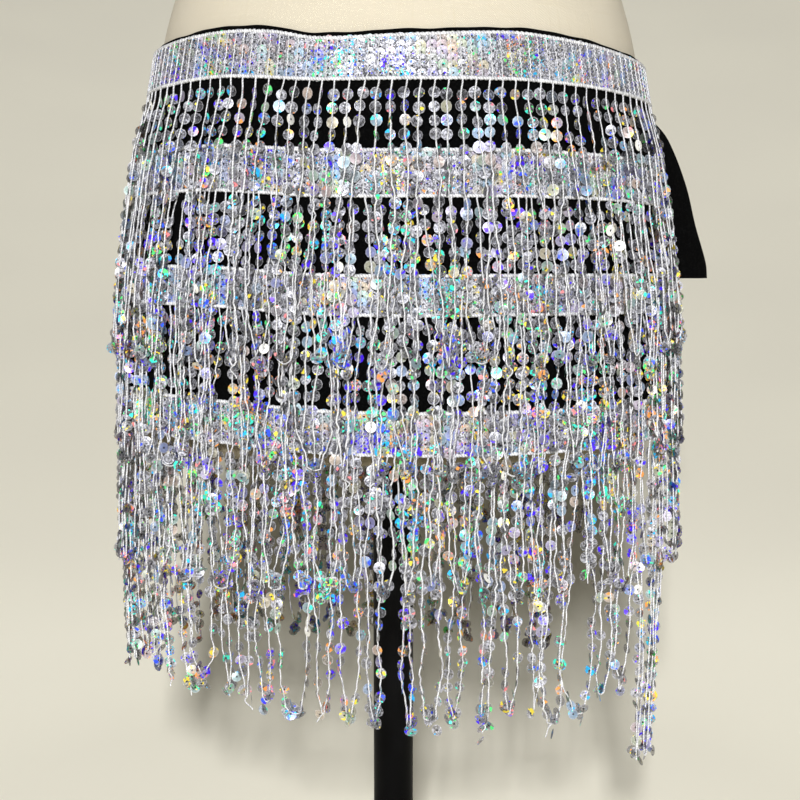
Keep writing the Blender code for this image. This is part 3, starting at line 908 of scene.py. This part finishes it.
def make_band_threads(number, top, bottom, chance):
    """White lines of stitching between the columns, and a chain stitch along both edges."""
    between = along_band((top + bottom) / 2, COLUMN_PITCH) - THREAD_INSET
    steps = 19
    level = np.linspace(bottom + THREAD_INSET, top - THREAD_INSET, steps)[None, :]
    zigzag = ZIGZAG * np.where(np.arange(steps) % 2 == 0, 1, -1)[None, :]
    distance = between[:, None] + zigzag + chance.normal(0, 0.00018, (len(between), steps))
    angle = angle_at(distance)
    out = BAND_OUTER + 0.0004 + 0.0002 * np.cos(np.arange(steps) * pi)[None, :]
    paths, outward = worn(angle, level + wander(angle, level), out + np.zeros_like(distance))
    parts = [tube_mesh(paths, outward, STITCH_RADIUS, 4)]
    for edge, inward in ((bottom, 1), (top, -1)):
        rear, front = edge_distances(edge)
        step = np.arange(int(real_length(edge)[0] / STITCH_LENGTH) * 4 + 1)
        angle = angle_at(blend(rear + THREAD_INSET, front - THREAD_INSET, step / step[-1]))
        level = edge + inward * EDGE_CORD_RADIUS * 0.6 + 0.00012 * np.sin(step * pi / 2)
        level = level + chance.normal(0, 0.00006, len(step))
        path, outward = worn(angle, level + wander(angle, level), BAND_OUTER - 0.0001)
        radius = EDGE_CORD_RADIUS * (1.0 - 0.16 * np.cos(step * pi / 2))
        parts.append(tube_mesh(path[None], outward[None], radius[None], 6))
    points, faces, value = join(parts)
    name = f"band_{number}_stitching"
    add_piece(name, points, faces, THREAD, [f"band_{number}"], "sequin_band", {"run": value})


def make_bands():
    tapes = []
    for number, (top, bottom, _) in enumerate(TIERS, 1):
        chance = np.random.default_rng(SEED * 10 + number)
        tapes.append(make_tape(number, top, bottom))
        make_band_sequins(number, top, bottom, chance)
        make_band_threads(number, top, bottom, chance)
    return tapes


# The fringe of sequin strings


def clumps(count, chance):
    """Which clump each string of a row hangs in; a clump has one to four strings."""
    group = []
    while len(group) < count:
        group += [group[-1] + 1 if group else 0] * int(chance.choice([1, 2, 2, 3, 3, 4]))
    return np.array(group[:count])


def string_paths(tier, chance):
    """The paths of a tier's strings, strings x steps x 3, and the outward directions along them."""
    _, bottom, end = TIERS[tier]
    length, covered = real_length(bottom)
    rear, front = edge_distances(bottom)
    count = 2 * int(length / STRING_PITCH / 2)
    pitch = covered / count
    t = np.linspace(0, 1, STRING_STEPS)[None, :]
    root = rear + pitch * (np.arange(count) + 0.5)
    group = clumps(count, chance)
    groups = group[-1] + 1
    centre = np.bincount(group, root) / np.bincount(group)
    pull = chance.uniform(0.1, 0.6, groups)[group][:, None] * ease(0.03, 0.55, t)
    place = root[:, None] + (centre[group] - root)[:, None] * pull
    drift = chance.normal(0, 0.0016, groups)[group][:, None]
    place += drift * ease(0.0, 0.7, t)
    for size, low, high in STRING_WAVES:
        rate = chance.uniform(low, high, count)[:, None]
        phase = chance.uniform(0, 2 * pi, count)[:, None]
        place += size * np.sin(2 * pi * rate * t + phase) * ease(0.0, 0.45, t)
    lean = np.cumsum(chance.normal(0, 0.0006, count)) + chance.normal(0, 0.0006, count)
    lean = np.clip(lean - lean.mean(), -0.002, 0.002)[:, None]
    place -= lean * (1 - ease(0.0, 0.07, t))
    kinks = chance.normal(0, 0.00030, (count, STRING_STEPS))
    place += kinks * ease(0.0, 0.2, t)
    # Two neighbours are one loop of thread: they meet at their ends
    pair = np.arange(count) // 2
    meeting = (place[0::2, -1] + place[1::2, -1]) / 2
    closing = chance.uniform(0.25, 0.85, count // 2)[pair][:, None]
    start = chance.uniform(0.78, 0.95, count // 2)[pair][:, None]
    place += (meeting[pair][:, None] - place) * closing * ease(start, 1.0, t)
    root_angle = angle_at(root)
    fall = chance.normal(0, 0.0028, count // 2)[pair] + chance.normal(0, 0.0006, count)
    fall -= back_sag(root_angle, tier)
    if tier == len(TIERS) - 1:
        fall += read(WANDER, root_angle)[:, 2]
        corner = root > front - CORNER_REACH
        fall -= CORNER_DROP * corner
        gather = CORNER_PULL * corner[:, None] * ease(0.1, 0.8, t)
        place += (root[corner].mean() - CORNER_SHIFT - place) * gather
    level = blend(bottom + 0.0006, end, t)
    height = level + wander(root_angle[:, None], level) * (1 - t) + fall[:, None] * t
    lay = np.array(FRINGE_LAY[tier])[::-1]
    outs = np.interp(level, lay[:, 0], lay[:, 1])
    spread = ease(0.0, 0.3, t)
    outs = outs + chance.uniform(-0.0010, 0.0006, groups)[group][:, None] * spread
    rate = chance.uniform(1.0, 2.5, count)[:, None]
    outs = outs + 0.0005 * np.sin(2 * pi * rate * t + chance.uniform(0, 6, count)[:, None]) * spread
    return worn(angle_at(place), height, outs)


def bottom_arcs(paths, outward, chance):
    """Each pair of strings as one path: down, round a narrow bend and up again."""
    down, up = paths[0::2], paths[1::2, ::-1]
    gap = up[:, :1] - down[:, -1:]
    dip = chance.uniform(0.0010, 0.0026, len(down))[:, None, None] * -UP
    share = np.linspace(0, 1, 7)[None, 1:-1, None]
    arc = down[:, -1:] + gap * share + dip * np.sin(pi * share)
    normals = np.broadcast_to(outward[0::2, -1:], arc.shape)
    return (
        np.concatenate([down, arc, up], 1),
        np.concatenate([outward[0::2], normals, outward[1::2, ::-1]], 1),
        arc[:, 2],
    )


def loose_tails(starts, outward, chance):
    """Short ends of thread that hang from some of the loops."""
    chosen = np.flatnonzero(chance.uniform(0, 1, len(starts)) < TAIL_SHARE)
    t = np.linspace(0, 1, 9)[None, :, None]
    length = chance.uniform(0.004, 0.008, len(chosen))[:, None, None]
    sideways = np.cross(outward[chosen], UP)[:, None]
    lean = chance.normal(0, 0.35, len(chosen))[:, None, None]
    curl = chance.normal(0, 0.22, len(chosen))[:, None, None]
    paths = starts[chosen][:, None] + sideways * length * (lean * t + curl * np.sin(pi * t * 1.6))
    paths = paths - UP * length * t + outward[chosen][:, None] * 0.001 * t
    return paths, np.broadcast_to(outward[chosen][:, None], paths.shape)


def string_sequins(tier, paths, outward, meeting, chance):
    """Places and directions of the sequins on a tier's strings, and of the bunches at their ends."""
    centres, facings = [], []
    for path, ways in zip(paths, outward):
        lengths = run_along(path)
        at = np.arange(FIRST_SEQUIN, lengths[-1] - 0.002, SEQUIN_PITCH)
        at = at + chance.normal(0, 0.0006, len(at))
        share = at / lengths[-1]
        keep = chance.uniform(0, 1, len(at)) > blend(0.01, 0.08 + 0.02 * tier, share)
        at, share = at[keep], share[keep]
        count = len(at)
        place, away = (
            np.stack([np.interp(at, lengths, row) for row in rows.T], -1) for rows in (path, ways)
        )
        away = unit(away)
        side = np.cross(UP, away)
        # A string twists slowly on its way down, and single sequins lie wildly
        yaw = chance.normal(0, 0.22)
        turn = 2 * pi * chance.uniform(0.3, 1.1) * share + chance.uniform(0, 6)
        yaw = yaw + 0.45 * np.sin(turn) * share
        yaw = yaw + chance.normal(0, 0.2, count) + 0.5 * tier / 3 * chance.normal(0, 1, count) * share
        beside = ease(0.75, 0.95, abs(away[0, 0]))
        wild = chance.uniform(0, 1, count) < blend(0.06, 0.55 + 0.08 * tier, share) + 0.4 * beside
        turned = chance.choice([-1.0, 1.0], count) * chance.uniform(0.6, 1.5, count)
        yaw = np.where(wild, turned, yaw)
        pitch = chance.normal(0.10, 0.16, count)
        yaw = yaw[:, None]
        facings.append(away * np.cos(yaw) + side * np.sin(yaw) + UP * np.tan(pitch)[:, None])
        centres.append(place - away * 0.0009 + side * chance.normal(0, 0.0004, count)[:, None])
    for place, away in zip(meeting, outward[0::2, -1]):
        extra = int(chance.integers(3, 8))
        side = np.cross(UP, away)
        offsets = chance.normal(0, 1, (extra, 3)) * BUNCH_SPREAD
        spot = place + side * offsets[:, :1] + away * (offsets[:, 1:2] - 0.0006)
        yaw = chance.uniform(-1.2, 1.2, extra)[:, None]
        pitch = chance.normal(0, 0.35, extra)[:, None]
        centres.append(spot + UP * (offsets[:, 2:] + 0.0015))
        facings.append(away * np.cos(yaw) + side * np.sin(yaw) + UP * pitch)
    return np.concatenate(centres), np.concatenate(facings)


def make_fringe(tier):
    chance = np.random.default_rng(SEED * 100 + tier)
    node = f"fringe_{tier + 1}"
    paths, outward = string_paths(tier, chance)
    loops, facing, meeting = bottom_arcs(paths, outward, chance)
    tails, tail_facing = loose_tails(meeting, outward[0::2, -1], chance)
    width = THREAD_RADIUS * chance.uniform(0.82, 1.15, (len(loops), 1))
    strings = tube_mesh(loops, facing, np.broadcast_to(width, loops.shape[:2]), 4)
    points, faces, value = join([strings, tube_mesh(tails, tail_facing, THREAD_RADIUS * 0.8, 4)])
    threads = add_piece(node + "_threads", points, faces, THREAD, [node], "sequin_strand", {"run": value})
    centres, facings = string_sequins(tier, paths, outward, meeting, chance)
    radius = SEQUIN_RADIUS * chance.uniform(0.88, 1.02, len(centres))
    dish = SEQUIN_DISH * chance.choice([-1, 1, 1], len(centres))
    mesh = sequin_mesh(centres, facings, np.broadcast_to(UP, facings.shape), radius, dish, chance)
    sequins = add_sequins(
        node, "sequin_strand", STRING_SEQUIN, mesh, centres, STRING_TINTS, STRING_FLECKS
    )
    return threads, sequins


# The ties


KNOT_ANGLE = 112.0
KNOT_HEIGHT = 0.5490
KNOT_OUT = 0.012
KNOT_HALF = (0.0130, 0.0090, 0.0120)
KNOT_POWER = 0.62         # below 1, the knot is squarer than an egg
KNOT_KNIT = 0.012         # the knot's half size in its knit's pattern
# Hanging ends: height, x from the form's middle, y, width, direction of the width in plan
TAIL_SECTIONS = {
    "tie_end_front": (
        (0.5367, 0.1494, 0.0403, 0.0110, -50.0),
        (0.5286, 0.1568, 0.0438, 0.0210, -27.0),
        (0.5175, 0.1634, 0.0468, 0.0275, -22.0),
        (0.4889, 0.1730, 0.0500, 0.0340, -15.0),
        (0.4622, 0.1790, 0.0512, 0.0370, -10.0),
        (0.4378, 0.1853, 0.0520, 0.0400, -6.0),
        (0.4275, 0.1867, 0.0520, 0.0400, -5.0),
    ),
    "tie_end_rear": (
        (0.5367, 0.1436, 0.0503, 0.0110, -60.0),
        (0.5250, 0.1432, 0.0600, 0.0200, -60.0),
        (0.5000, 0.1450, 0.0720, 0.0270, -62.0),
        (0.4650, 0.1455, 0.0830, 0.0340, -63.0),
        (0.4350, 0.1460, 0.0880, 0.0370, -64.0),
        (0.4150, 0.1460, 0.0900, 0.0370, -64.0),
    ),
}
TIE_WALL = 0.0024


def ribbon_mesh(centre, across, facing, width, folds, thickness):
    """A closed soft strip through rows of centres; folds is a grid of heights off its plane."""
    rows, columns = folds.shape
    share = np.linspace(-0.5, 0.5, columns)[None, :, None]
    middle = centre[:, None] + across[:, None] * width[:, None, None] * share
    middle = middle + facing[:, None] * folds[..., None]
    edge = np.sqrt(np.clip(1 - (2 * np.abs(share)) ** 12, 0.05, 1))
    outer = middle + facing[:, None] * thickness / 2 * edge
    inner = middle - facing[:, None] * thickness / 2 * edge
    return wall_mesh(outer[::-1], inner[::-1])


def add_ribbon(name, mesh, across, up):
    """A strip of a tie; its rows are reversed in its mesh, so its places are too."""
    add_piece(name + "_cloth", *mesh, KNIT, [name], "knit_black", cloth_value(across[::-1], up[::-1]))


def make_tails():
    rows, columns = 70, 33
    for seed, (name, sections) in enumerate(TAIL_SECTIONS.items()):
        chance = np.random.default_rng(SEED + seed)
        table = sorted(sections)
        heights = np.linspace(table[-1][0], table[0][0], rows)
        values = read(table, heights)
        centre = np.stack([FORM_X + values[:, 0], values[:, 1], heights], -1)
        plan = np.radians(values[:, 3])
        flat = np.zeros(rows)
        across = np.stack([np.cos(plan), np.sin(plan), flat], -1)
        facing = np.stack([np.sin(plan), -np.cos(plan), flat], -1)
        t = np.linspace(0, 1, rows)[:, None]
        u = np.linspace(-1, 1, columns)[None, :]
        # It is gathered at the knot and opens into two soft folds with a slightly curled hem
        folds = 0.0036 * t * (1 - u * u)
        folds += 0.0011 * (1 - 0.6 * t) * np.cos(2.6 * pi * u + 0.6) * ease(0.0, 0.1, t)
        folds += 0.0008 * t * np.sin(pi * (1.4 * u + 1.1 * t + chance.uniform(0, 1)))
        folds += 0.0010 * ease(0.93, 1.0, t) * np.cos(pi * u)
        mesh = ribbon_mesh(centre, across, facing, values[:, 2], folds, TIE_WALL)
        add_ribbon(name, mesh, values[:, 2:3] * u / 2, heights[:, None])


def knot_frame():
    surface, outward = body(KNOT_ANGLE, KNOT_HEIGHT)
    return surface + outward * KNOT_OUT, np.cross(UP, outward), outward


def make_knot():
    """A flat hitch: a rounded body under one broad slanting wrap, with soft folds that follow each turn."""
    centre, along, outward = knot_frame()
    lat = np.linspace(-pi / 2, pi / 2, 60)[:, None]
    lon = np.linspace(0, 2 * pi, 96, endpoint=False)[None, :]

    def soft(value):
        return np.sign(value) * np.abs(value) ** KNOT_POWER

    x = soft(np.cos(lat)) * soft(np.cos(lon))
    y = soft(np.cos(lat)) * soft(np.sin(lon))
    z = soft(np.sin(lat)) * np.ones_like(lon)
    slant = x + 0.45 * z
    wrap = 1 - ease(0.50, 0.62, np.abs(slant))
    folds = 0.035 * np.sin(15 * slant) * wrap
    folds += 0.035 * np.sin(17 * (z - 0.25 * x)) * (1 - wrap)
    swell = 0.86 + 0.12 * wrap + folds
    local = np.stack([x, y, z], -1) * np.array(KNOT_HALF) * swell[..., None]
    points = centre + local[..., :1] * along + local[..., 1:2] * outward + local[..., 2:] * UP
    points, faces = ring_mesh(points[1:-1])
    value = np.stack(np.broadcast_arrays(slant * KNOT_KNIT, z * KNOT_KNIT + 0.002 * x, 0.0), -1)[1:-1]
    add_piece("tie_knot_cloth", points, faces, KNIT, ["tie_knot"], "knit_black", {"cloth": value})


STRAP_WIDTHS = (0.022, 0.017, 0.013)
STRAP_BOW = 0.0015
STRAP_LENGTH = 0.02       # a strap's length in its knit's pattern


def make_straps():
    """The drawn-in corners: each strap is gathered into folds that run to the knot."""
    centre, along, outward = knot_frame()
    top, bottom, _ = TIERS[0]
    out = (CLOTH_INNER + CLOTH_OUTER) / 2 + 0.0003
    t = np.linspace(0, 1, 24)
    u = np.linspace(-1, 1, 25)[None, :]
    for name, edge, side in (("tie_strap_front", 1, -1), ("tie_strap_rear", 0, 1)):
        angle = angle_at(edge_distances(top)[edge] - side * 0.0006)
        start, facing = body(angle, (top + bottom) / 2 + wander(angle, top), out)
        leaning = unit(body(angle, top, out)[0] - body(angle, bottom, out)[0])
        end = centre + along * side * (KNOT_HALF[0] - 0.0006)
        middle = (start + end) / 2 + outward * STRAP_BOW
        weights = np.stack([(1 - t) ** 2, 2 * t * (1 - t), t**2], -1)
        path = weights @ np.stack([start, 2 * middle - (start + end) / 2, end])
        lean = unit(leaning[None] * (1 - t)[:, None] + UP[None] * t[:, None])
        face = unit(facing[None] * (1 - t)[:, None] + outward[None] * t[:, None])
        width = np.interp(t, [0, 0.5, 1], STRAP_WIDTHS)
        folds = 0.0009 * np.sin(3.2 * pi * u + 0.8) * ease(0.0, 0.5, t)[:, None]
        points, faces = ribbon_mesh(path, lean, face, width, folds, TIE_WALL * 0.8)
        if side < 0:
            faces = [face_points[::-1] for face_points in faces]
        add_ribbon(name, (points, faces), width[:, None] * u / 2, t[:, None] * STRAP_LENGTH)


# Stage, lights and camera


def stage_material():
    s = Shader("pale_sweep", (0.91, 0.875, 0.750), 0.95, Specular_IOR_Level=0.1)
    grain = s.noise(s.place(), 4.0, 0.0)
    return s.finish(Base_Color=s.mix(s.remap(grain, 0.3, 0.7), (0.92, 0.885, 0.757), (0.90, 0.865, 0.743)))


# The floor's slope: distance from the middle, degrees
FLOOR_SLOPES = (
    (0.38, 0.0),
    (0.55, 12.0),
    (1.00, 15.0),
    (1.50, 19.0),
    (2.20, 27.0),
    (3.50, 36.0),
    (4.60, 46.0),
)
FLOOR_STEPS = 40
FLOOR_SIDES = 96
FLOOR_DROP = 0.0002       # the floor lies just under the base


def make_stage():
    """A pale floor that rises all round like a wide dish, so that it has no edge from any side."""
    distances, slopes = np.array(FLOOR_SLOPES).T
    radii = np.linspace(distances[0], distances[-1], FLOOR_STEPS)
    rises = np.tan(np.radians(np.interp((radii[1:] + radii[:-1]) / 2, distances, slopes))) * np.diff(radii)
    heights = np.concatenate([[0.0], np.cumsum(rises)])
    profile = [(0.001, 0.0), (0.2, 0.0), *zip(radii, heights)]
    points, _ = turned_mesh(profile, FLOOR_SIDES)
    mesh = bpy.data.meshes.new("floor_dish")
    cells = grid_cells(len(profile), FLOOR_SIDES, ring=True)
    mesh.from_pydata((points - UP * FLOOR_DROP).tolist(), [], cells.tolist())
    mesh.polygons.foreach_set("use_smooth", np.full(len(mesh.polygons), True))
    mesh.materials.append(stage_material())
    floor = bpy.data.objects.new("floor_dish", mesh)
    bpy.context.scene.collection.objects.link(floor)


# Lamps: name, place, aim, energy, size, spread in degrees
LAMPS = (
    ("key_lamp", (-0.05, -1.5, 0.97), (0.0, 0.2, 0.3), 11.9, 0.16, 180.0),
    ("back_lamp", (0.30, 1.6, 1.0), (0.0, -0.6, 0.80), 1.3, 0.20, 86.0),
)
WORLD_COLOUR = (1.0, 0.90, 0.70, 1.0)
WORLD_STRENGTH = 0.03


def add_lamp(name, place, aim, energy, size, spread):
    """A soft lamp that lights what is near and what is far alike."""
    data = bpy.data.lights.new(name, "AREA")
    data.energy = energy
    data.size = size
    data.spread = radians(spread)
    data.use_nodes = True
    nodes = data.node_tree.nodes
    falloff = nodes.new("ShaderNodeLightFalloff")
    falloff.inputs["Strength"].default_value = 1.0
    data.node_tree.links.new(falloff.outputs["Constant"], nodes["Emission"].inputs["Strength"])
    light = bpy.data.objects.new(name, data)
    bpy.context.scene.collection.objects.link(light)
    light.location = place
    light.rotation_euler = (Vector(aim) - Vector(place)).to_track_quat("-Z", "Y").to_euler()
    light.visible_camera = False


CAMERA_PLACE = (0.0044, -0.83, 0.475)
CAMERA_PITCH = 8.4
FOCAL_PIXELS = 1311.0
FRAME_PIXELS = 800.0
SENSOR_MM = 36.0


def make_view():
    world = bpy.data.worlds.new("studio")
    world.use_nodes = True
    background = world.node_tree.nodes["Background"]
    background.inputs["Color"].default_value = WORLD_COLOUR
    background.inputs["Strength"].default_value = WORLD_STRENGTH
    bpy.context.scene.world = world
    for lamp in LAMPS:
        add_lamp(*lamp)
    data = bpy.data.cameras.new("photo_camera")
    data.sensor_width = SENSOR_MM
    data.lens = FOCAL_PIXELS / FRAME_PIXELS * SENSOR_MM
    data.clip_start = 0.02
    camera = bpy.data.objects.new("photo_camera", data)
    bpy.context.scene.collection.objects.link(camera)
    camera.location = CAMERA_PLACE
    camera.rotation_euler = (radians(90.0 - CAMERA_PITCH), 0.0, 0.0)
    bpy.context.scene.camera = camera
    bpy.context.scene.view_settings.view_transform = "Standard"
    bpy.context.scene.view_settings.exposure = 0.0


make_form()
make_stand()
panel, panel_width, panel_area = make_cloth()
tapes = make_bands()
fringes = [piece for tier in range(len(TIERS)) for piece in make_fringe(tier)]
make_tails()
make_knot()
make_straps()
make_stage()
make_view()
